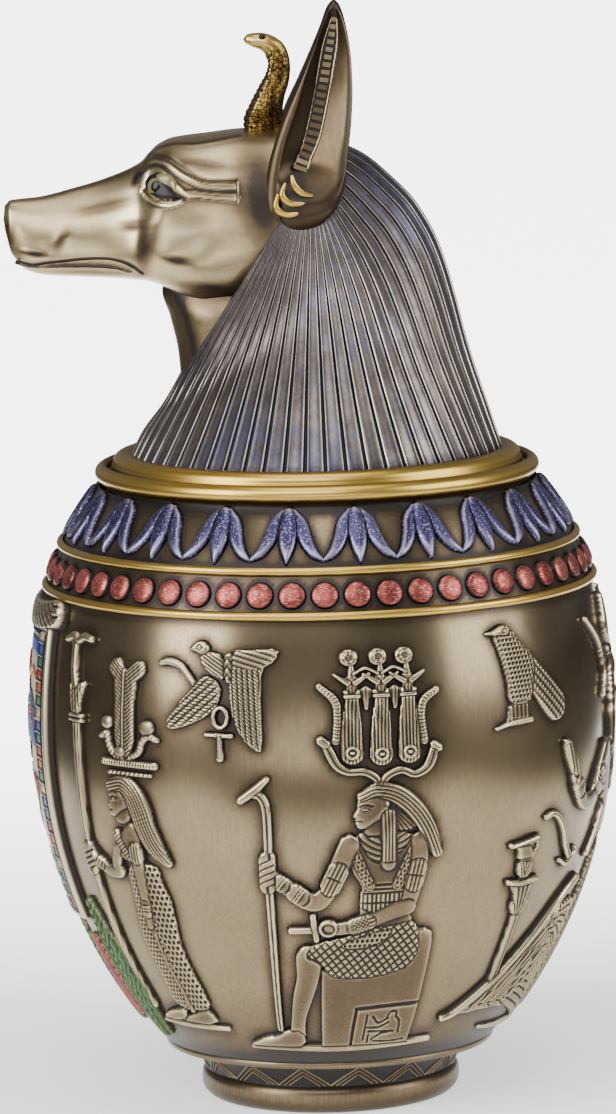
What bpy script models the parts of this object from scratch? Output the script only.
"""Canopic jar with a jackal-headed lid, a cold-cast bronze copy of an Egyptian burial jar.

Two separate castings: the hollow jar, and the lid that rests in its mouth.
Units are metres, +Z is up, the jackal looks towards -Y, and the origin is the
centre of the foot's underside.
"""
import math

import bmesh
import bpy
import numpy as np
from mathutils import Vector
from mathutils.geometry import delaunay_2d_cdt

SEAM = 0.0002

# Foot
FOOT_RADIUS = 0.0380
FOOT_ROLL_HEIGHT = 0.0082
FOOT_UNDERSIDE_RADIUS = 0.0340
COVE_TOP_RADIUS = 0.0425
FOOT_RING_RADIUS = 0.0484
FOOT_RING_HEIGHT = 0.0026
FOOT_RING_Z = 0.0170
RING_STEP = 0.0012
CHEVRON_COUNT = 15
CHEVRON_GAP = 0.0027
CHEVRON_RAISE = 0.0006
CHEVRON_SINK = 0.0010

# Belly and shoulder
BELLY_RADIUS = 0.0839
BELLY_RISE = 0.0950
BELLY_FOOT_RADIUS = 0.0475
LOWER_BAND_RISE = 0.0410
LOWER_BAND_INSET = 0.0044
BEAD_ROW_HEIGHT = 0.0121
SHOULDER_RISE = 0.0164
SHOULDER_TOP_RADIUS = 0.0640
SHOULDER_ROUNDNESS = 1.4
BAND_HEIGHT = 0.0026
BAND_RAISE = 0.0019
BEAD_COUNT = 53
BEAD_GAP = 0.0008
BEAD_HEIGHT = 0.0078
BEAD_DROP = 0.0004
BEAD_RAISE = 0.0016
BEAD_SINK = 0.0005
BEAD_SIDES = 6
LOTUS_COUNT = 22
LOTUS_HEIGHT = 0.0136
LOTUS_RAISE = 0.0019
LOTUS_SINK = 0.0010
BELLY_Z = FOOT_RING_Z + BELLY_RISE
LOWER_BAND_Z = BELLY_Z + LOWER_BAND_RISE
UPPER_BAND_Z = LOWER_BAND_Z + BEAD_ROW_HEIGHT
SHOULDER_TOP_Z = UPPER_BAND_Z + SHOULDER_RISE

# Mouth and inside
LIP_RADIUS = 0.0650
LIP_ROLL_HEIGHT = 0.0051
LIP_GAP = 0.0013
LIP_EDGE = 0.0006
LIP_OPENING_RADIUS = 0.0615
WALL = 0.0050
FLOOR = 0.0070
LEDGE_DEPTH = 0.0026
LEDGE_THICKNESS = 0.0050
THROAT_RADIUS = 0.0557
THROAT_SLOPE = 0.0060

# Lid ring and plug
LID_CLEARANCE = 0.0003
PLUG_CLEARANCE = 0.0010
PLUG_DEPTH = 0.0080
PLUG_TAPER = 0.0006
LID_RING_RADIUS = 0.0596
LID_RING_HEIGHT = 0.0054
HEM_INSET = 0.0052

# Head and headcloth
HEAD_LENGTH = 0.0900
CROWN_RISE = 0.0015
HEM_SINK = 0.0010
STRIPE_COUNT = 57
GROOVE_DEPTH = 0.0009
GROOVE_SHARE = 0.26
EYE_RAISE = 0.0010
EYE_SINK = 0.0015
EAR_HEIGHT = 0.0583
EAR_WIDTH = 0.0228
EAR_DEPTH = 0.0105
EAR_WALL = 0.0016
EAR_SPREAD = 0.0215
EAR_LEAN = 0.0035
EAR_ROOT_RADIUS = 0.0112
COBRA_HEIGHT = 0.0292
HOOP_COUNT = 3
HOOP_RADIUS = 0.0049
HOOP_THICKNESS = 0.0016
HOOP_STEP = 0.0023
CROWN_HEIGHT = HEAD_LENGTH + CROWN_RISE

# Relief on the belly
RELIEF_RAISE = 0.0013
PANEL_RAISE = 0.0026
ROPE_RAISE = 0.0034
RELIEF_SINK = 0.0018
CHART_RADIUS = 0.0800
DRAWN_RADIUS = 80.0
CHART_STEP = 0.0170
OUTLINE_SLACK = 0.00075
FAR_SLACK = 0.0015
FAR_SHAPES = 12
DRAWN_LOW = 17.0
DRAWN_HEIGHT = 136.0
SMALLEST_PATCH = 0.000002
MERGE_DISTANCE = 0.00002

# Fineness of the faceted solids
TURN_STEPS = 34
INSIDE_STEPS = 24


def curve_through(stations):
    """Smooth monotone curve through (place, value) pairs, as a function of place."""
    places = np.array([station[0] for station in stations], float)
    values = np.array([station[1] for station in stations], float)
    widths = np.diff(places)
    rises = np.diff(values) / widths
    slopes = np.zeros(len(places))
    slopes[0] = rises[0]
    slopes[-1] = rises[-1]
    for i in range(1, len(places) - 1):
        if rises[i - 1] * rises[i] > 0:
            slopes[i] = 2 * rises[i - 1] * rises[i] / (rises[i - 1] + rises[i])

    def value(place):
        place = min(max(place, places[0]), places[-1])
        i = min(int(np.searchsorted(places, place, side="right")) - 1, len(widths) - 1)
        t = (place - places[i]) / widths[i]
        start = values[i] + slopes[i] * widths[i] * t
        rest = 3 * rises[i] - 2 * slopes[i] - slopes[i + 1]
        turn = slopes[i] + slopes[i + 1] - 2 * rises[i]
        return float(start + widths[i] * (rest * t**2 + turn * t**3))

    return value


def belly_radius(z):
    """Radius of the bare jar wall at height z, from the foot ring to the lip."""
    if z <= BELLY_Z:
        t = max(0.0, (z - FOOT_RING_Z) / (BELLY_Z - FOOT_RING_Z))
        swell = (1 - (1 - t) ** 2) ** 0.89
        return BELLY_FOOT_RADIUS + (BELLY_RADIUS - BELLY_FOOT_RADIUS) * swell
    if z <= LOWER_BAND_Z:
        t = (z - BELLY_Z) / (LOWER_BAND_Z - BELLY_Z)
        return BELLY_RADIUS - LOWER_BAND_INSET * t**2
    t = min(1.0, (z - LOWER_BAND_Z) / (SHOULDER_TOP_Z - LOWER_BAND_Z))
    band_radius = BELLY_RADIUS - LOWER_BAND_INSET
    return band_radius - (band_radius - SHOULDER_TOP_RADIUS) * t**SHOULDER_ROUNDNESS


def cove_radius(z):
    """Radius of the hollowed foot neck between the roll and the foot ring."""
    t = (z - FOOT_ROLL_HEIGHT) / (FOOT_RING_Z - FOOT_ROLL_HEIGHT)
    narrow = FOOT_RADIUS - RING_STEP
    return narrow + (COVE_TOP_RADIUS - narrow) * max(0.0, min(1.0, t)) ** 1.5


def on_jar(radius_at):
    """Map from chart places (girth length, height) to points and normals on a turned wall."""
    def place(u, z, raised):
        angle = u / CHART_RADIUS
        step = 0.0005
        slope = (radius_at(z + step) - radius_at(z - step)) / (2 * step)
        normal = Vector((math.cos(angle), math.sin(angle), -slope)).normalized()
        radius = radius_at(z)
        point = Vector((radius * math.cos(angle), radius * math.sin(angle), z))
        return point + normal * raised

    return place


def new_object(name, verts, faces):
    """Mesh object from vertices and faces, merged and with its faces pointing out."""
    mesh = bpy.data.meshes.new(name)
    mesh.from_pydata([tuple(v) for v in verts], [], faces)
    work = bmesh.new()
    work.from_mesh(mesh)
    bmesh.ops.remove_doubles(work, verts=work.verts, dist=0.000001)
    bmesh.ops.recalc_face_normals(work, faces=work.faces)
    work.to_mesh(mesh)
    work.free()
    thing = bpy.data.objects.new(name, mesh)
    bpy.context.scene.collection.objects.link(thing)
    return thing


def skin(name, rings, closed=False):
    """Surface over rings of equal length; the first and last ring are filled unless closed."""
    count = len(rings[0])
    verts = [point for ring in rings for point in ring]
    faces = []
    spans = len(rings) if closed else len(rings) - 1
    for row in range(spans):
        low = row * count
        high = ((row + 1) % len(rings)) * count
        for i in range(count):
            j = (i + 1) % count
            faces.append((low + i, low + j, high + j, high + i))
    if not closed:
        faces.append(tuple(reversed(range(count))))
        faces.append(tuple(range(len(verts) - count, len(verts))))
    return new_object(name, verts, faces)


def turned(name, profile, steps):
    """Solid of revolution about Z from (radius, height) points, its ends flat."""
    rings = []
    for radius, z in profile:
        ring = []
        for i in range(steps):
            angle = math.tau * i / steps
            ring.append(Vector((radius * math.cos(angle), radius * math.sin(angle), z)))
        rings.append(ring)
    return skin(name, rings)


def half_round(surface_radius, raise_by, z_middle, height, steps=2):
    """Profile points of a half-round moulding standing on a wall."""
    points = []
    for i in range(steps + 2):
        angle = -math.pi / 2 + math.pi * i / (steps + 1)
        radius = surface_radius(z_middle + math.sin(angle) * height / 2)
        points.append((radius + raise_by * math.cos(angle), z_middle + math.sin(angle) * height / 2))
    return points


def kept_edges(tris):
    """Outer edges of a patch of triangles, each as a step from one corner to the next."""
    steps = {(a, b) for tri in tris for a, b in zip(tri, list(tri[1:]) + [tri[0]])}
    return {a: b for a, b in steps if (b, a) not in steps}


def thinned(loop, slack):
    """Closed outline without the points that lie within slack of their neighbours' line."""
    points = list(loop)
    i = 0
    while len(points) > 4 and i < len(points):
        before = points[i - 1]
        after = points[(i + 1) % len(points)]
        span = after - before
        off = points[i] - before
        away = abs(span.x * off.y - span.y * off.x) / max(span.length, 1e-9)
        if away < slack:
            points.pop(i)
        else:
            i += 1
    return points


def spaced(loop, step):
    """Closed outline with its long edges divided, so that it follows the curved wall."""
    points = []
    for before, after in zip(loop, loop[1:] + loop[:1]):
        parts = max(1, round((after - before).length / step))
        points += [before.lerp(after, i / parts) for i in range(parts)]
    return points


def inside_outlines(point, outlines):
    """Whether a point lies within a set of closed outlines, holes taken out."""
    crossings = 0
    for outline in outlines:
        for a, b in zip(outline, outline[1:] + outline[:1]):
            if (a.y > point.y) != (b.y > point.y):
                crossings += point.x < a.x + (point.y - a.y) / (b.y - a.y) * (b.x - a.x)
    return crossings % 2 == 1


def signed_area(points):
    """Area of a closed outline, positive where it runs anticlockwise."""
    return sum(a.x * b.y - b.x * a.y for a, b in zip(points, points[1:] + points[:1])) / 2


def merged(outlines, slack):
    """Outlines of the union of overlapping shapes."""
    verts = []
    faces = []
    for outline in outlines:
        outline = [Vector(point) for point in outline]
        if signed_area(outline) < 0:
            outline.reverse()
        start = len(verts)
        verts.extend(outline)
        faces.append(list(range(start, len(verts))))
    flat, _, tris, _, _, owners = delaunay_2d_cdt(verts, [], faces, 0, MERGE_DISTANCE)
    following = kept_edges([tri for tri, owner in zip(tris, owners) if owner])
    loops = []
    while following:
        start, corner = following.popitem()
        loop = [start]
        while corner != start and corner in following:
            loop.append(corner)
            corner = following.pop(corner)
        loop = [flat[i] for i in loop]
        if abs(signed_area(loop)) > SMALLEST_PATCH:
            loops.append(thinned(loop, slack))
    return loops


def applied(name, outlines, place, raise_by, sink_by, step=None, slack=OUTLINE_SLACK):
    """Plates of even height on a curved wall, one closed shell for each patch of outlines."""
    if step:
        outlines = [spaced(loop, step) for loop in merged(outlines, slack)]
    else:
        outlines = [[Vector(point) for point in outline] for outline in outlines]
    verts = []
    edges = []
    for outline in outlines:
        start = len(verts)
        verts.extend(outline)
        count = len(outline)
        edges += [(start + i, start + (i + 1) % count) for i in range(count)]
    if step:
        low_u = min(v.x for v in verts)
        high_u = max(v.x for v in verts)
        low_v = min(v.y for v in verts)
        high_v = max(v.y for v in verts)
        for i in range(1, int((high_u - low_u) / step) + 1):
            for j in range(1, int((high_v - low_v) / step) + 1):
                point = Vector((low_u + i * step, low_v + j * step))
                if inside_outlines(point, outlines):
                    verts.append(point)
    flat, _, tris, _, _, _ = delaunay_2d_cdt(verts, edges, [], 0, MERGE_DISTANCE)
    kept = []
    for tri in tris:
        middle = (flat[tri[0]] + flat[tri[1]] + flat[tri[2]]) / 3
        if inside_outlines(middle, outlines):
            kept.append(list(tri))
    used = sorted({i for tri in kept for i in tri})
    new_index = {old: new for new, old in enumerate(used)}
    count = len(used)
    tops = [place(flat[i].x, flat[i].y, raise_by) for i in used]
    roots = [place(flat[i].x, flat[i].y, -sink_by) for i in used]
    kept = [[new_index[i] for i in tri] for tri in kept]
    solid = [tuple(tri) for tri in kept]
    solid += [tuple(i + count for i in reversed(tri)) for tri in kept]
    steps = {(a, b) for tri in kept for a, b in zip(tri, tri[1:] + tri[:1])}
    solid += [(b, a, a + count, b + count) for a, b in sorted(steps) if (b, a) not in steps]
    return new_object(name, tops + roots, solid)


def combine(target, others, operation="UNION"):
    """Boolean of one object with others, applied one after the other; the others go."""
    for other in others:
        modifier = target.modifiers.new(operation.lower(), "BOOLEAN")
        modifier.operation = operation
        modifier.solver = "EXACT"
        modifier.object = other
        graph = bpy.context.evaluated_depsgraph_get()
        mesh = bpy.data.meshes.new_from_object(target.evaluated_get(graph))
        target.modifiers.clear()
        target.data = mesh
        bpy.data.objects.remove(other)
    return target


def stroke(points, widths):
    """Outline of a bar along points, with its full width at each of them."""
    left = []
    right = []
    for i, (u, v) in enumerate(points):
        before = Vector(points[max(i - 1, 0)])
        after = Vector(points[min(i + 1, len(points) - 1)])
        along = (after - before).normalized()
        side = Vector((-along.y, along.x)) * widths[i] / 2
        left.append((u + side.x, v + side.y))
        right.append((u - side.x, v - side.y))
    return left + right[::-1]


def disc(u, v, width, height=None, sides=6):
    """Outline of a round or oval plate."""
    height = height or width
    turns = [math.tau * (i + 0.5) / sides for i in range(sides)]
    return [(u + width / 2 * math.cos(a), v + height / 2 * math.sin(a)) for a in turns]


def leaf(root, tip, width, belly=0.45):
    """Outline of a petal or feather from its root to its tip."""
    root = Vector(root)
    tip = Vector(tip)
    side = Vector((-(tip - root).y, (tip - root).x)).normalized() * width / 2
    middle = root.lerp(tip, belly)
    return [root - side * 0.5, middle - side, tip, middle + side, root + side * 0.5]


# Relief figures, drawn in millimetres about a point on their ground line
def seated_figure():
    """Enthroned figure in profile with a long staff and a three-bundle crown."""
    shapes = [
        [(0, 0), (33, 0), (33, 34), (31, 36), (27, 36), (26, 24), (1, 22)],
        [(-11, 29), (1, 22), (25, 22.5), (29, 27), (27, 38), (10, 36), (-5, 33)],
        stroke([(-7, 30), (-9, 18), (-12, 8), (-13, 1)], [7, 6.5, 5, 5]),
        [(-33, -0.5), (-33, 1), (-26, 2.6), (-15, 4), (-9, 2), (-9, -0.5)],
        [(9, 37), (26, 40), (25, 47), (29, 60), (25, 67), (7, 67), (3, 60), (9, 51)],
        stroke([(5, 62), (1, 52), (-3, 46), (-9, 49), (-16, 55)], [5, 4.6, 5, 4, 4]),
        stroke([(27, 61), (25, 50), (21, 44), (10, 40.5), (-1, 39.5)], [5, 5, 5, 4, 4]),
        stroke([(-10, 38.5), (-3, 39)], [2, 2]),
        [(8.5, 66), (15, 66), (17, 74), (14, 81), (9, 79), (7.5, 73)],
        [(8, 79), (12, 82), (19, 81), (26, 74), (32, 62), (33, 58), (30.5, 58), (20, 68), (16, 68), (13, 77)],
        stroke([(-18, 7), (-17, 40), (-15.5, 77), (-17, 79), (-21, 76)], [2.2, 2.2, 2.0, 2.2, 2.6]),
        stroke([(-22.5, 76.5), (-15.5, 82.5)], [2.2, 1.4]),
        stroke([(15, 81.5), (15, 86)], [2.4, 2.4]),
        stroke([(0, 96), (3, 88.5), (10, 86.5), (15, 84), (20, 86.5), (28, 87.5), (31, 93)],
               [2.4, 2, 1.8, 2.4, 1.8, 2, 2.6]),
        stroke([(4, 90), (4, 104), (0, 109)], [2.4, 2.6, 2.6]),
        stroke([(27, 90), (27, 104), (31, 108)], [2.4, 2.6, 2.0]),
    ]
    for middle in (8, 15.5, 23.5):
        shapes.append(stroke([(middle, 88), (middle, 92), (middle, 108), (middle, 113)], [5, 5.4, 4, 5]))
        shapes.append(disc(middle, 117, 4.8))
    return shapes


def standing_figure():
    """Standing figure in a long dress, with plumed crown and tall papyrus staff."""
    return [
        [(-13, 0.8), (-5, 4), (6, 5), (13, 3), (18, 1), (18, -0.3), (-13, -0.3)],
        [(-1, 4), (15, 4), (12, 24), (12.5, 37), (10, 50), (-2, 50), (-1, 38), (-3, 20)],
        [(-2, 49), (10, 49), (6, 60), (1, 63), (-4, 58)],
        stroke([(-2, 48), (-7, 46), (-12, 48), (-18, 53)], [3.6, 3.6, 3.4, 3.2]),
        [(-4.5, 64), (-2, 62.5), (2, 62), (3, 72), (-4, 72), (-5, 67)],
        [(-4, 71), (-4, 75), (6, 75.5), (10, 69), (16.5, 52), (11, 52.5), (4, 62), (1, 69)],
        stroke([(1.5, 74), (1.5, 82)], [9, 6.5]),
        stroke([(-5.3, 79.4), (13, 79.4)], [2, 2]),
        [(-1, 81), (6, 81), (6, 102), (9.5, 105), (7, 109), (2.5, 106), (-1, 109), (-3.5, 106), (-1, 102)],
        disc(-4.3, 90.5, 3.8, sides=6),
        disc(10.2, 90.5, 4.2, sides=6),
        stroke([(-5.5, 87), (0, 81)], [2, 2]),
        stroke([(13, 88), (5, 81)], [2, 2]),
        stroke([(-15, 4), (-18, 66), (-17.5, 90)], [3.2, 3.2, 3.4]),
        [(-19.5, 89), (-21.5, 101), (-13.5, 101.5), (-16, 89)],
        stroke([(-18.8, 100), (-19.5, 112)], [2.8, 2.8]),
        stroke([(-25, 112.5), (-13, 113.5)], [2.8, 2.8]),
    ]


def flying_vulture():
    """Vulture in flight with both wings down, carrying a looped cross."""
    return [
        [(-37, 142), (-34, 145), (-31.5, 144), (-30, 141), (-27, 138), (-33, 139), (-35, 142)],
        [(-34, 141), (-30, 142), (-18, 143), (-18, 138), (-27, 133), (-32, 137)],
        [(-28, 141), (-19, 142.5), (-17.5, 134), (-16.3, 121), (-18, 115), (-24, 121), (-25, 130)],
        [(-28, 137), (-27, 132), (-31, 126), (-42, 121), (-43.5, 123), (-37, 131), (-33, 136)],
        [(-19, 142), (-13, 144), (-12, 142), (-14, 137), (-18, 138.5)],
        stroke([(-46, 139), (-41, 139.5), (-37, 135), (-34, 132)], [1.6, 1.8, 1.6, 1.4]),
        disc(-28, 124.5, 4.2, 5),
        stroke([(-32, 119.5), (-24, 119.5)], [1.4, 1.4]),
        stroke([(-28, 123), (-28, 113)], [1.5, 1.7]),
    ]


def standing_falcon():
    """Falcon standing in profile with folded wing and long tail."""
    return [
        [(48, 145), (54, 146.7), (58, 145), (60, 141), (65, 137), (63, 129), (61, 123), (55, 123), (53, 132),
         (52, 141), (50.5, 144)],
        [(62, 140), (67, 134), (75, 126), (77, 121), (74, 117.5), (70, 118), (65, 125), (60, 132)],
        [(50, 117.7), (54, 119.8), (55, 124), (61, 124), (61.5, 120), (61, 118.4), (55, 118)],
    ]


def offering_emblems():
    """Crook and lotus sceptre before the winged figure."""
    return [
        stroke([(70, 89.5), (74, 90), (78, 85), (82, 78), (86, 75)], [1.6, 1.8, 1.6, 1.6, 2.6]),
        [(57, 82.5), (57, 84), (66, 84.6), (68, 82), (65, 79), (66, 74), (68.5, 73), (67, 66), (65.5, 61),
         (61, 61), (60, 66), (58, 72), (60, 73.5), (60.5, 80)],
        stroke([(63.3, 62), (63, 41)], [2.6, 3.4]),
    ]


def winged_figure(middle):
    """Kneeling winged figure seen from the front, wings spread low to both sides."""
    half = [
        [(-81, 31), (-75, 33), (-63, 41), (-50, 50), (-40, 61), (-29, 66), (-22, 60), (-22, 40), (-31, 42),
         (-42, 33), (-56, 29.5), (-74, 29.5)],
        stroke([(-48, 109), (-47, 101), (-42, 93), (-34, 90), (-27, 98), (-22, 104)], [3.6, 4.4, 3.6, 4, 5, 6]),
        [(-30, 26), (0, 26), (0, 62), (-24, 62), (-27, 44)],
        [(-24, 60), (0, 60), (0, 110), (-10, 112), (-23, 106), (-22, 80)],
    ]
    shapes = [disc(0, 118, 13, 17, 10), [(-14, 100), (14, 100), (9, 122), (0, 128), (-9, 122)], disc(0, 135, 15, 15, 12)]
    for outline in half:
        shapes.append(outline)
        shapes.append([(-u, v) for u, v in outline])
    return [[(middle + u, v) for u, v in outline] for outline in shapes]


def front_panel(middle):
    """Raised framed panel on the jar's front."""
    half = 28.7
    return [[(middle - half, 58), (middle + half, 58), (middle + half, 144), (middle - half, 144)]]


def front_leaves(middle):
    """Ribbed leaf at each lower corner of the front panel."""
    return [leaf((middle + side * 43, 28), (middle + side * 36.5, 64), 15) for side in (-1, 1)]


def rope_moulding(middle):
    """Thick twisted rope that sags over the top of the front panel."""
    return [stroke([(middle - 30, 147.5), (middle, 144.5), (middle + 30, 147.5)], [7, 7, 7])]


def ground_lines():
    """Narrow ledges that the figures stand on."""
    return [
        stroke([(-33, 24.2), (43, 24.6)], [2.0, 2.0]),
        stroke([(-75, 29.6), (-41, 29.2)], [1.4, 1.4]),
    ]


def make_relief(place):
    """All figures on the belly; the far side is a plainer mirror of the near one, without crown."""
    seated = [[(u, v + 24.5) for u, v in outline] for outline in seated_figure()]
    standing = [[(u - 61, v + 30) for u, v in outline] for outline in standing_figure()]
    quarter = math.tau * DRAWN_RADIUS / 4
    near = seated + standing + ground_lines() + flying_vulture() + standing_falcon() + offering_emblems()
    far = [[(2 * quarter - u, v) for u, v in outline] for outline in seated[:FAR_SHAPES] + standing]
    groups = [
        (near, RELIEF_RAISE, OUTLINE_SLACK), (far, RELIEF_RAISE, FAR_SLACK),
        (winged_figure(quarter), RELIEF_RAISE, OUTLINE_SLACK),
        (front_leaves(-quarter), RELIEF_RAISE, OUTLINE_SLACK),
        (front_panel(-quarter), PANEL_RAISE, OUTLINE_SLACK),
        (rope_moulding(-quarter), ROPE_RAISE, OUTLINE_SLACK),
    ]
    tall = (LOWER_BAND_Z - FOOT_RING_Z) / DRAWN_HEIGHT
    wide = CHART_RADIUS / DRAWN_RADIUS
    pieces = []
    for number, (outlines, height, slack) in enumerate(groups):
        chart = []
        for outline in outlines:
            chart.append([(u * wide, FOOT_RING_Z + (v - DRAWN_LOW) * tall) for u, v in outline])
        pieces.append(applied("relief_%d" % number, chart, place, height, RELIEF_SINK, CHART_STEP, slack))
    return pieces


def make_beads(place):
    """Row of low round beads between the two gilt bands."""
    middle = (LOWER_BAND_Z + UPPER_BAND_Z) / 2 - BEAD_DROP
    spacing = math.tau * CHART_RADIUS / BEAD_COUNT
    width = spacing - BEAD_GAP
    verts = []
    faces = []
    for i in range(BEAD_COUNT):
        start = len(verts)
        centre = (i + 0.15) * spacing
        for u, v in disc(centre, middle, width, BEAD_HEIGHT, BEAD_SIDES):
            verts.append(place(u, v, -BEAD_SINK))
        verts.append(place(centre, middle, BEAD_RAISE))
        rim = list(range(start, start + BEAD_SIDES))
        faces.append(tuple(reversed(rim)))
        faces += [(a, b, start + BEAD_SIDES) for a, b in zip(rim, rim[1:] + rim[:1])]
    return new_object("beads", verts, faces)


def make_lotuses(place):
    """Row of hanging lotus flowers on the shoulder, each of three petals."""
    spacing = math.tau * CHART_RADIUS / LOTUS_COUNT
    top = SHOULDER_TOP_Z - RING_STEP
    outlines = []
    for i in range(LOTUS_COUNT):
        u = (i + 0.56) * spacing
        wide = spacing * 0.47
        outlines.append([
            (u - spacing * 0.17, top), (u - wide, top - LOTUS_HEIGHT * 0.93), (u - spacing * 0.17, top - LOTUS_HEIGHT * 0.68),
            (u, top - LOTUS_HEIGHT), (u + spacing * 0.17, top - LOTUS_HEIGHT * 0.68),
            (u + wide, top - LOTUS_HEIGHT * 0.93), (u + spacing * 0.17, top),
        ])
    return applied("lotuses", outlines, place, LOTUS_RAISE, LOTUS_SINK)


def make_chevrons():
    """Zigzag of upright teeth in the hollow of the foot neck."""
    place = on_jar(cove_radius)
    spacing = math.tau * CHART_RADIUS / CHEVRON_COUNT
    low = FOOT_ROLL_HEIGHT + SEAM
    high = FOOT_RING_Z - FOOT_RING_HEIGHT / 2 - SEAM
    half = (spacing - CHEVRON_GAP) / 2
    outlines = []
    for i in range(CHEVRON_COUNT):
        u = (i + 0.5) * spacing
        outlines.append([(u - half, low), (u + half, low), (u, high)])
    return applied("chevrons", outlines, place, CHEVRON_RAISE, CHEVRON_SINK)


def make_jar():
    """Hollow jar: turned wall with mouldings, beads, lotuses and relief figures."""
    middle = FOOT_ROLL_HEIGHT * 0.55
    half_way = math.sqrt(0.5)
    roll_side = FOOT_UNDERSIDE_RADIUS + (FOOT_RADIUS - FOOT_UNDERSIDE_RADIUS) * half_way
    ring_bottom = FOOT_RING_Z - FOOT_RING_HEIGHT / 2
    ring_top = FOOT_RING_Z + FOOT_RING_HEIGHT / 2
    cove_middle = (FOOT_ROLL_HEIGHT + ring_bottom) / 2
    profile = [
        (FOOT_UNDERSIDE_RADIUS, 0.0),
        (roll_side, middle * (1 - half_way)),
        (FOOT_RADIUS, middle),
        (cove_radius(FOOT_ROLL_HEIGHT), FOOT_ROLL_HEIGHT),
        (cove_radius(cove_middle), cove_middle),
        (cove_radius(ring_bottom), ring_bottom),
        (FOOT_RING_RADIUS - RING_STEP, ring_bottom),
        (FOOT_RING_RADIUS, FOOT_RING_Z),
        (FOOT_RING_RADIUS - RING_STEP, ring_top),
        (belly_radius(ring_top), ring_top + SEAM),
    ]
    for share in (0.09, 0.22, 0.39, 0.58, 0.79):
        z = ring_top + (LOWER_BAND_Z - ring_top) * share
        profile.append((belly_radius(z), z))
    profile += half_round(belly_radius, BAND_RAISE, LOWER_BAND_Z, BAND_HEIGHT)
    profile += half_round(belly_radius, BAND_RAISE, UPPER_BAND_Z, BAND_HEIGHT)
    for share in (0.5, 1.0):
        z = UPPER_BAND_Z + (SHOULDER_TOP_Z - UPPER_BAND_Z) * share
        profile.append((belly_radius(z), z))
    lip_z = SHOULDER_TOP_Z + LIP_GAP + LIP_ROLL_HEIGHT / 2
    lip_top = lip_z + LIP_ROLL_HEIGHT / 2
    neck = SHOULDER_TOP_RADIUS - RING_STEP
    for angle in (-90, -30, 30):
        turn = math.radians(angle)
        radius = neck + (LIP_RADIUS - neck) * math.cos(turn)
        profile.append((radius, lip_z + LIP_ROLL_HEIGHT / 2 * math.sin(turn)))
    profile.append((LIP_OPENING_RADIUS + LIP_EDGE, lip_top))
    jar = turned("jar", profile, TURN_STEPS)

    place = on_jar(belly_radius)
    combine(jar, make_relief(place) + [make_beads(place), make_lotuses(place), make_chevrons()])

    ledge_z = lip_top - LEDGE_DEPTH
    under_ledge = ledge_z - LEDGE_THICKNESS
    floor_z = FOOT_RING_Z + FLOOR * 0.5
    inside = [(belly_radius(floor_z) - WALL * 1.9, floor_z)]
    for share in (0.10, 0.32, 0.64, 1.0):
        z = floor_z + (under_ledge - THROAT_SLOPE - floor_z) * share
        inside.append((belly_radius(z) - WALL, z))
    inside.append((THROAT_RADIUS, under_ledge))
    inside.append((THROAT_RADIUS, ledge_z))
    inside.append((LIP_OPENING_RADIUS, ledge_z))
    inside.append((LIP_OPENING_RADIUS, lip_top + LEDGE_DEPTH))
    hollow = turned("hollow", inside, INSIDE_STEPS)
    combine(jar, [hollow], "DIFFERENCE")
    return jar, ledge_z


def make_lid_ring(ledge_z):
    """Round ring that rests on the jar's ledge, with the plug that centres it below."""
    bottom = ledge_z + LID_CLEARANCE
    plug = THROAT_RADIUS - PLUG_CLEARANCE
    middle = bottom + LID_RING_HEIGHT / 2
    roll = LID_RING_HEIGHT / 2
    inner = LID_RING_RADIUS - roll
    profile = [(plug - PLUG_TAPER, bottom - PLUG_DEPTH), (plug, bottom)]
    for angle in (-90, -35, 35, 90):
        turn = math.radians(angle)
        profile.append((inner + roll * math.cos(turn), middle + roll * math.sin(turn)))
    return turned("lid", profile, TURN_STEPS), bottom + LID_RING_HEIGHT


# The headcloth's profile seen from the side, as shares of the crown's height
BACK_LINE = curve_through([
    (0.0, 0.595), (0.14, 0.550), (0.34, 0.489), (0.53, 0.443), (0.66, 0.403),
    (0.79, 0.334), (0.885, 0.246), (0.95, 0.168), (1.0, 0.066),
])
HALF_WIDTH = curve_through([(0.0, 0.595), (0.25, 0.48), (0.5, 0.37), (0.75, 0.29), (1.0, 0.252)])
FRONT_LINE = curve_through([(0.0, -0.594), (0.33, -0.552), (0.70, -0.486), (1.0, -0.443)])
THROAT_SHARE = 0.235
STRIPE_LEAN = curve_through([(-1.0, -1.0), (-0.8, -0.62), (-0.4, -0.12), (0.0, 0.16), (0.5, 0.46), (1.0, 1.0)])


def headcloth_point(t, turn, depth, hem_z, hem_radius):
    """Point on the headcloth: t runs from hem to face opening, turn is the stripe's angle at the hem."""
    fit = hem_radius / (0.595 * CROWN_HEIGHT)
    front_z = THROAT_SHARE * t
    back_z = t**0.9
    front_y = FRONT_LINE(t)
    back_y = BACK_LINE(back_z)
    if t == 0:
        back_y = -front_y
    middle = Vector((0, (front_y + back_y) / 2, (front_z + back_z) / 2))
    along = Vector((0, back_y - front_y, back_z - front_z)) / 2
    share = turn / (math.pi / 2)
    side = 1
    if share > 1:
        share = 2 - share
        side = -1
    elif share < -1:
        share = -2 - share
        side = -1
    angle = (share + (STRIPE_LEAN(share) - share) * t) * math.pi / 2
    across = Vector((side, 0, 0)) * HALF_WIDTH(t) * math.cos(angle)
    spread = fit + (1 - fit) * min(1.0, 3 * t)
    radial = across + along * math.sin(angle)
    point = middle + radial
    point = Vector((point.x * spread, point.y * spread, point.z)) * CROWN_HEIGHT
    inward = Vector((radial.x, radial.y, radial.z * 0.3)).normalized()
    return point - inward * depth + Vector((0, 0, hem_z))


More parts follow.
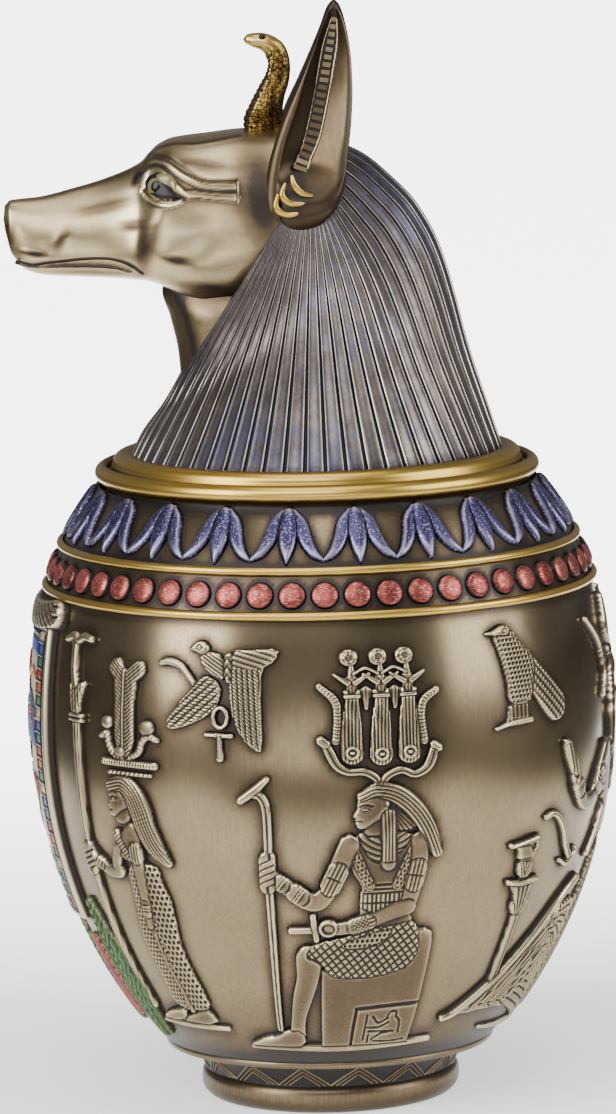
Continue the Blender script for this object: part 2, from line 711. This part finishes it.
def make_headcloth(hem_z, hem_radius):
    """Striped headcloth: flat bands with a narrow groove between each two."""
    rings = []
    for t in (0.0, 0.30, 0.60, 0.84, 1.0):
        ring = []
        for i in range(STRIPE_COUNT):
            for share, depth in ((0.0, 0), (1 - GROOVE_SHARE, GROOVE_DEPTH)):
                turn = -math.pi + math.tau * (i + share) / STRIPE_COUNT
                ring.append(headcloth_point(t, turn, depth, hem_z, hem_radius))
        rings.append(ring)
    rings.insert(0, [point - Vector((0, 0, HEM_SINK)) for point in rings[0]])
    return skin("headcloth", rings)


# The jackal's head, as shares of its length behind the nose tip
HEAD_TOP = curve_through([
    (0.0, 0.812), (0.02, 0.830), (0.11, 0.839), (0.22, 0.864), (0.33, 0.895), (0.44, 0.942),
    (0.475, 0.978), (0.50, 1.000), (0.55, 1.021), (0.66, 1.034), (0.78, 1.045), (0.90, 1.043), (1.0, 0.99),
])
HEAD_BOTTOM = curve_through([
    (0.0, 0.73), (0.02, 0.655), (0.07, 0.600), (0.13, 0.585), (0.33, 0.572), (0.45, 0.560), (0.56, 0.528),
    (0.61, 0.512), (0.72, 0.508), (0.85, 0.50), (1.0, 0.52),
])
HEAD_WIDE_Z = curve_through([(0.0, 0.77), (0.10, 0.70), (0.40, 0.70), (0.55, 0.745), (0.75, 0.76), (1.0, 0.76)])
HEAD_HALF_WIDTH = curve_through([
    (0.0, 0.030), (0.02, 0.052), (0.10, 0.078), (0.30, 0.098), (0.43, 0.134), (0.52, 0.190),
    (0.68, 0.228), (0.88, 0.232), (1.0, 0.20),
])
TOP_FULLNESS = curve_through([(0.0, 2.2), (0.2, 1.7), (0.42, 1.8), (0.55, 2.6), (0.8, 2.5), (1.0, 2.2)])


def head_ring(share, base_z, count):
    """Cross-section of the head at a share of its length from nose to nape."""
    low = HEAD_BOTTOM(share)
    high = HEAD_TOP(share)
    wide = HEAD_WIDE_Z(share)
    half = HEAD_HALF_WIDTH(share)
    y = -HEAD_LENGTH * (0.99 - share)
    ring = []
    for i in range(count):
        angle = math.tau * i / count
        fullness = TOP_FULLNESS(share) if math.sin(angle) > 0 else 2.6
        reach = math.copysign(abs(math.cos(angle)) ** (2 / fullness), math.cos(angle))
        lift = math.copysign(abs(math.sin(angle)) ** (2 / fullness), math.sin(angle))
        z = wide + lift * ((high - wide) if lift > 0 else (wide - low))
        ring.append(Vector((half * reach * HEAD_LENGTH, y, base_z + z * HEAD_LENGTH)))
    return ring


def make_head(hem_z):
    """Jackal's head with a long muzzle, an open mouth line and its neck."""
    base_z = hem_z - SEAM
    shares = (0.0, 0.02, 0.07, 0.30, 0.42, 0.475, 0.51, 0.60, 0.78, 1.0)
    head = skin("head", [head_ring(share, base_z, 14) for share in shares])
    neck_rings = []
    for z, front, half in ((0.16, 0.430, 0.17), (0.32, 0.440, 0.175), (0.44, 0.464, 0.175), (0.525, 0.500, 0.15),
                           (0.60, 0.47, 0.13)):
        ring = []
        for i in range(10):
            angle = math.tau * i / 10
            y = -front + (front + 0.02) / 2 * (1 + math.sin(angle))
            ring.append(Vector((half * math.cos(angle), y, z)) * HEAD_LENGTH + Vector((0, 0, base_z)))
        neck_rings.append(ring)
    neck = skin("neck", neck_rings)
    mouth = []
    for share, z, tall in ((-0.02, 0.63, 0.010), (0.08, 0.607, 0.012), (0.28, 0.617, 0.016), (0.40, 0.600, 0.004)):
        y = -HEAD_LENGTH * (0.99 - share)
        half = 0.2 * HEAD_LENGTH
        ring = []
        for x, lift in ((-half, -tall), (half, -tall), (half, tall), (-half, tall)):
            ring.append(Vector((x, y, base_z + (z + lift) * HEAD_LENGTH)))
        mouth.append(ring)
    core = []
    for share in (-0.04, 0.45):
        y = -HEAD_LENGTH * (0.99 - share)
        half = (0.045 + 0.06 * max(share, 0)) * HEAD_LENGTH
        core.append([Vector((x, y, base_z + z * HEAD_LENGTH))
                     for x, z in ((-half, 0.55), (half, 0.55), (half, 0.70), (-half, 0.70))])
    slot = combine(skin("mouth", mouth), [skin("core", core)], "DIFFERENCE")
    combine(head, [slot], "DIFFERENCE")
    eyes = []
    for side in (-1, 1):
        for rings in eye_forms(side, base_z):
            eyes.append(skin("eye", rings))
    return combine(head, [neck] + eyes)


def on_head(side, share, z_share, out):
    """Point on the side of the head, moved outwards."""
    low = HEAD_BOTTOM(share)
    high = HEAD_TOP(share)
    wide = HEAD_WIDE_Z(share)
    fullness = TOP_FULLNESS(share) if z_share > wide else 2.6
    reach = (high - wide) if z_share > wide else (wide - low)
    t = min(1.0, abs(z_share - wide) / reach)
    half = HEAD_HALF_WIDTH(share) * (1 - t**fullness) ** (1 / fullness)
    return Vector((side * (half * HEAD_LENGTH + out), -HEAD_LENGTH * (0.99 - share), z_share * HEAD_LENGTH))


def eye_forms(side, base_z):
    """Eyeball, painted-eye line and brow, as low ribs on the side of the head."""
    lift = Vector((0, 0, base_z))
    lines = [
        [(0.515, 0.935), (0.56, 0.885), (0.60, 0.850), (0.66, 0.838), (0.755, 0.836)],
        [(0.535, 0.975), (0.58, 0.935), (0.625, 0.895), (0.68, 0.880), (0.755, 0.878)],
    ]
    forms = []
    for line in lines:
        rings = []
        for share, z in line:
            ring = []
            for dz, out in ((-0.014, -EYE_SINK), (-0.011, EYE_RAISE), (0.011, EYE_RAISE), (0.014, -EYE_SINK)):
                ring.append(on_head(side, share, z + dz, out) + lift)
            rings.append(ring)
        forms.append(rings)
    ball = []
    for out, size in ((-EYE_SINK, 1.0), (EYE_RAISE / 2, 0.85), (EYE_RAISE, 0.4)):
        ring = []
        for i in range(6):
            angle = math.tau * i / 6
            share = 0.512 + 0.036 * size * math.cos(angle)
            ring.append(on_head(side, share, 0.865 + 0.040 * size * math.sin(angle), out) + lift)
        ball.append(ring)
    forms.append(ball)
    return forms


# The ear's edges seen from the side, as shares of its height and width
EAR_FRONT = curve_through([(0.0, -0.50), (0.2, -0.42), (0.4, -0.22), (0.6, -0.01), (0.8, 0.19), (0.95, 0.28), (1.0, 0.33)])
EAR_BACK = curve_through([(0.0, 0.38), (0.2, 0.47), (0.45, 0.55), (0.6, 0.55), (0.8, 0.50), (0.93, 0.43), (1.0, 0.35)])


def make_ear(side, hem_z):
    """Tall pointed ear, cupped and open to the side, with its rounded root."""
    root_z = hem_z + 0.794 * HEAD_LENGTH
    rings = []
    for share in (0.0, 0.22, 0.45, 0.68, 0.9, 1.0):
        front = EAR_FRONT(share) * EAR_WIDTH
        back = EAR_BACK(share) * EAR_WIDTH
        middle = (front + back) / 2
        half = max((back - front) / 2, 0.026 * EAR_WIDTH)
        deep = EAR_DEPTH * (half / (EAR_WIDTH * 0.5)) ** 0.8
        rim_x = EAR_SPREAD - EAR_LEAN * share
        wall = min(EAR_WALL, half * 0.35)
        z = root_z + share * EAR_HEIGHT
        ring = []
        for i in range(7):
            turn = math.pi * i / 6
            ring.append(Vector((side * (rim_x - deep * math.sin(turn)), middle - half * math.cos(turn), z)))
        for i in range(5):
            turn = math.pi * (1 - (i + 0.5) / 5)
            inner_x = rim_x - (deep - wall) * math.sin(turn) * 0.75
            ring.append(Vector((side * inner_x, middle - (half - wall) * math.cos(turn), z)))
        rings.append(ring)
    ear = skin("ear", rings)
    root = []
    for share, size in ((0.0, 0.30), (0.20, 0.80), (0.50, 1.0), (1.0, 0.75)):
        ring = []
        for i in range(8):
            angle = math.tau * i / 8
            x = EAR_SPREAD - EAR_ROOT_RADIUS * (0.58 - 0.76 * size * math.cos(angle))
            y = EAR_ROOT_RADIUS * (size * math.sin(angle) - 0.07)
            ring.append(Vector((side * x, y, root_z + EAR_ROOT_RADIUS * (2.0 * share - 0.67))))
        root.append(ring)
    return [ear, skin("ear_root", root)]


def make_hoops(side, hem_z):
    """Gilt hoops through the lower front edge of an ear."""
    root_z = hem_z + 0.794 * HEAD_LENGTH
    hoops = []
    for number in range(HOOP_COUNT):
        forward = HOOP_RADIUS * 0.25 + HOOP_STEP * number
        centre = Vector((side * EAR_SPREAD, -forward, root_z + HOOP_RADIUS * 1.9 - HOOP_STEP * number))
        rings = []
        for i in range(5):
            turn = math.radians(135 + 190 * i / 4)
            out = Vector((0, math.cos(turn), math.sin(turn)))
            thick = HOOP_THICKNESS / 2 * (0.55 + 0.45 * math.sin(math.pi * i / 4))
            ring = []
            for j in range(4):
                around = math.tau * j / 4
                sideways = Vector((side * HOOP_THICKNESS / 2 + thick * math.sin(around), 0, 0))
                ring.append(centre + out * (HOOP_RADIUS + thick * math.cos(around)) + sideways)
            rings.append(ring)
        hoops.append(skin("hoop", rings))
    return hoops


def make_cobra(hem_z):
    """Rearing cobra on the brow: a broad hood below, and a small head looking forward."""
    share = 0.837
    brow_z = hem_z + (HEAD_TOP(share) - 0.040) * HEAD_LENGTH
    foot = Vector((0, -HEAD_LENGTH * (0.99 - share), brow_z))
    line = [
        (0.00, 0.000, 0.17, 0.16), (0.014, 0.19, 0.178, 0.24), (0.08, 0.40, 0.150, 0.25),
        (0.165, 0.60, 0.125, 0.14), (0.175, 0.74, 0.115, 0.115), (0.135, 0.88, 0.105, 0.11),
        (0.035, 0.985, 0.080, 0.12), (-0.155, 0.945, 0.032, 0.05),
    ]
    rings = []
    for number, (y, z, deep, wide) in enumerate(line):
        before = line[max(number - 1, 0)]
        after = line[min(number + 1, len(line) - 1)]
        along = Vector((0, after[0] - before[0], after[1] - before[1])).normalized()
        out = Vector((0, along.z, -along.y))
        ring = []
        for i in range(6):
            angle = math.tau * (i + 0.5) / 6
            offset = Vector((wide * math.sin(angle), y, z)) + out * deep * math.cos(angle)
            ring.append(foot + offset * COBRA_HEIGHT)
        rings.append(ring)
    return skin("cobra", rings)


def make_lid(ledge_z):
    """Lid cast in one with the jackal's head, headcloth, cobra and hoops."""
    lid, hem_z = make_lid_ring(ledge_z)
    pieces = [make_headcloth(hem_z - HEM_SINK, LID_RING_RADIUS - HEM_INSET), make_head(hem_z), make_cobra(hem_z)]
    for side in (-1, 1):
        ear, root = make_ear(side, hem_z)
        pieces.append(combine(root, [ear] + make_hoops(side, hem_z)))
    return combine(lid, pieces)


def finished(thing, name, colour, roughness, metallic):
    """Smooth shading and one plain finish for a solid."""
    thing.data.shade_smooth()
    thing.data.set_sharp_from_angle(angle=math.radians(35))
    thing.data.materials.clear()
    finish = bpy.data.materials.new(name)
    finish.use_nodes = True
    shader = finish.node_tree.nodes["Principled BSDF"]
    shader.inputs["Base Color"].default_value = (*colour, 1)
    shader.inputs["Roughness"].default_value = roughness
    shader.inputs["Metallic"].default_value = metallic
    thing.data.materials.append(finish)


for leftover in list(bpy.data.objects):
    bpy.data.objects.remove(leftover)
jar, ledge_z = make_jar()
lid = make_lid(ledge_z)
finished(jar, "jar_bronze_resin", (0.36, 0.30, 0.21), 0.42, 0.8)
finished(lid, "lid_bronze_resin", (0.33, 0.28, 0.24), 0.40, 0.8)
